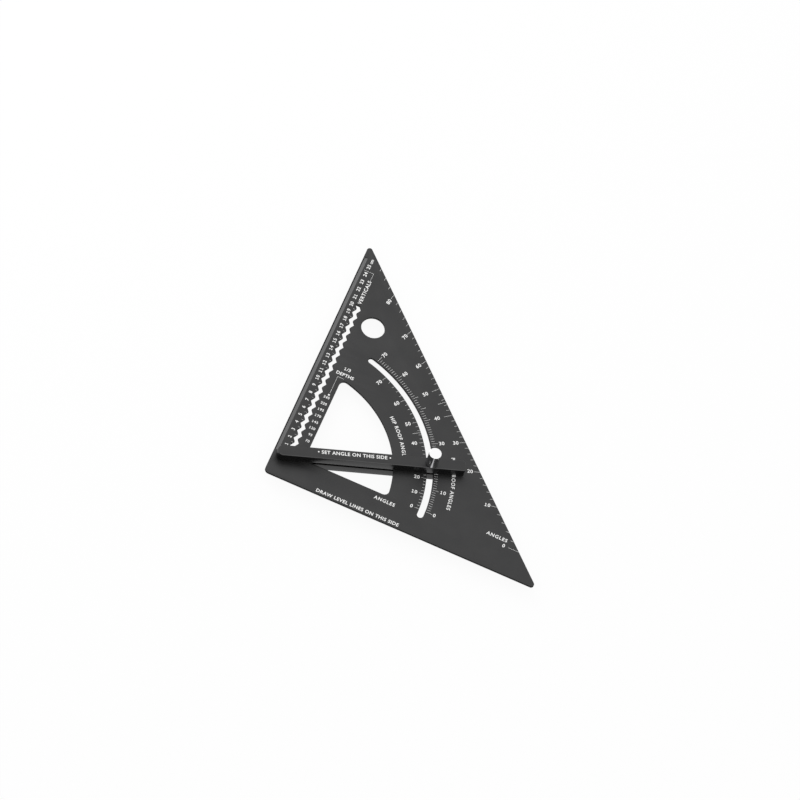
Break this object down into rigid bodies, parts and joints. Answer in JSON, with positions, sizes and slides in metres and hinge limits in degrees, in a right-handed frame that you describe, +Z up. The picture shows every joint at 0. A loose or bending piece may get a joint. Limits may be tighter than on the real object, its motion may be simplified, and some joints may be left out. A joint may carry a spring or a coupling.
{
  "type": "rafter square",
  "caption": "Triangular layout square with a swinging two-bar arm that reads a degree scale, locks with a knob in an arc slot and serves as a fence on the timber.",
  "frame": {"origin": "centre of the footprint, on the plane of the lower bar's underside", "axes": "+X along the seat edge away from the heel, +Y along the plumb edge away from the heel, +Z up out of the printed face"},
  "size_m": [0.3028, 0.3028, 0.0427],
  "materials": {
    "blade_finish": "matte dark grey anodised plate with white printed scales",
    "arm_finish": "matte dark grey anodised bar",
    "polished_metal": "polished bright plated knob",
    "plated_steel": "zinc plated steel",
    "brass": "turned brass",
    "nylon": "natural nylon"
  },
  "bodies": {
    "blade": {"blade": "blade_finish"},
    "arm": {"upper_arm": "arm_finish", "lower_arm": "arm_finish", "pivot_bush": "brass", "pivot_screw": "plated_steel", "pivot_washers": "nylon", "slot_sleeve": "brass", "thread_insert": "brass"},
    "washer": {"knob_washer": "plated_steel"},
    "knob": {"lock_knob": "polished_metal", "lock_stud": "plated_steel"}
  },
  "joints": [
    {"name": "arm_swing", "type": "hinge", "parent": "blade", "child": "arm", "pos_m": [-0.14138, -0.12518, 0.0099], "axis": [0, 0, 1], "range_deg": [-21.7, 52.3]},
    {"name": "knob_lift", "type": "slide", "parent": "arm", "child": "washer", "axis": [0, 0, 1], "range_m": [0, 0.0008]},
    {"name": "knob_turn", "type": "hinge", "parent": "washer", "child": "knob", "pos_m": [0.00329, -0.06761, 0.0099], "axis": [0, 0, 1], "range_deg": [0, 360]}
  ],
  "couplings": [
    {"joint": "knob_turn", "follows": "knob_lift", "rad_per_m": 7854}
  ]
}
